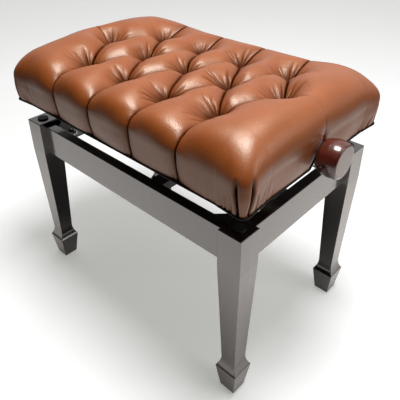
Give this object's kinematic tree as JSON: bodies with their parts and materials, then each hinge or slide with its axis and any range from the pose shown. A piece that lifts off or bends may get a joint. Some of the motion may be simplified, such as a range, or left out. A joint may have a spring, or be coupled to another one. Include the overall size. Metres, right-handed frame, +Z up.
{
  "type": "piano bench",
  "caption": "Adjustable piano bench: tufted leather seat on a scissor lift, polished stand with tapered spade-foot legs, end knobs.",
  "frame": {"origin": "on the floor, under the centre of the bench", "axes": "+X along the length to the right, -Y to the front, +Z up"},
  "size_m": [0.68, 0.396, 0.5285],
  "materials": {
    "polished_wood": "gloss",
    "knob_wood": "gloss",
    "inner_wood": "satin",
    "seat_wood": "matte",
    "leather": "satin",
    "rubber": "matte",
    "black_steel": "satin",
    "bright_steel": "brushed",
    "brass": "satin",
    "nylon": "matte",
    "twine": "matte"
  },
  "bodies": {
    "frame": {"apron_back": "polished_wood", "apron_front": "polished_wood", "apron_left": "polished_wood", "apron_right": "polished_wood", "batten_back": "inner_wood", "batten_front": "inner_wood", "bracket_screws": "bright_steel", "bumper_back_left": "rubber", "bumper_back_right": "rubber", "bumper_front_left": "rubber", "bumper_front_right": "rubber", "corner_block_back_left": "inner_wood", "corner_block_back_right": "inner_wood", "corner_block_front_left": "inner_wood", "corner_block_front_right": "inner_wood", "corner_screws": "bright_steel", "cross_rail": "inner_wood", "leg_back_left": "polished_wood", "leg_back_right": "polished_wood", "leg_bolts": "bright_steel", "leg_front_left": "polished_wood", "leg_front_right": "polished_wood", "lower_axle": "bright_steel", "lower_pivot": "black_steel", "lower_track": "black_steel"},
    "arms_rising": {"arm_rising_front": "black_steel", "arm_rising_back": "black_steel", "centre_axle": "bright_steel"},
    "arms_falling": {"arm_falling_front": "black_steel", "arm_falling_back": "black_steel", "slide_axle": "bright_steel"},
    "nut": {"spindle_nut": "brass"},
    "spindle": {"spindle": "bright_steel", "knob_left": "knob_wood", "knob_right": "knob_wood", "spindle_collars": "bright_steel"},
    "seat": {"bearing_left": "nylon", "bearing_right": "nylon", "channel_screws": "bright_steel", "cushion": "leather", "lift_channel": "black_steel", "seat_board": "seat_wood", "seat_rail_back": "seat_wood", "seat_rail_front": "seat_wood", "seat_rail_left": "seat_wood", "seat_rail_right": "seat_wood", "side_pad_back": "leather", "side_pad_front": "leather", "side_pad_left": "leather", "side_pad_right": "leather", "tuft_ties": "twine", "upper_pins": "bright_steel"}
  },
  "joints": [
    {"name": "seat_lift", "type": "slide", "parent": "frame", "child": "seat", "axis": [0, 0, 1], "range_m": [-0.045, 0.055]},
    {"name": "arm_rise", "type": "hinge", "parent": "frame", "child": "arms_rising", "pos_m": [-0.19247, 0, 0.3315], "axis": [0, -1, 0], "range_deg": [-6.84, 8.34]},
    {"name": "arm_cross", "type": "hinge", "parent": "arms_rising", "child": "arms_falling", "pos_m": [0, 0, 0.38588], "axis": [0, -1, 0], "range_deg": [-16.68, 13.69]},
    {"name": "nut_pivot", "type": "hinge", "parent": "arms_rising", "child": "nut", "pos_m": [0.19247, 0, 0.44026], "axis": [0, -1, 0], "range_deg": [-8.34, 6.84]},
    {"name": "spindle_turn", "type": "hinge", "parent": "seat", "child": "spindle", "pos_m": [0, 0, 0.4398], "axis": [1, 0, 0], "range_deg": [-1206.49, 1473.49]}
  ],
  "couplings": [
    {"joint": "arm_rise", "follows": "seat_lift", "rad_per_m": 2.6152},
    {"joint": "arm_cross", "follows": "seat_lift", "rad_per_m": -5.2303},
    {"joint": "nut_pivot", "follows": "seat_lift", "rad_per_m": -2.6152},
    {"joint": "spindle_turn", "follows": "seat_lift", "rad_per_m": 466}
  ]
}
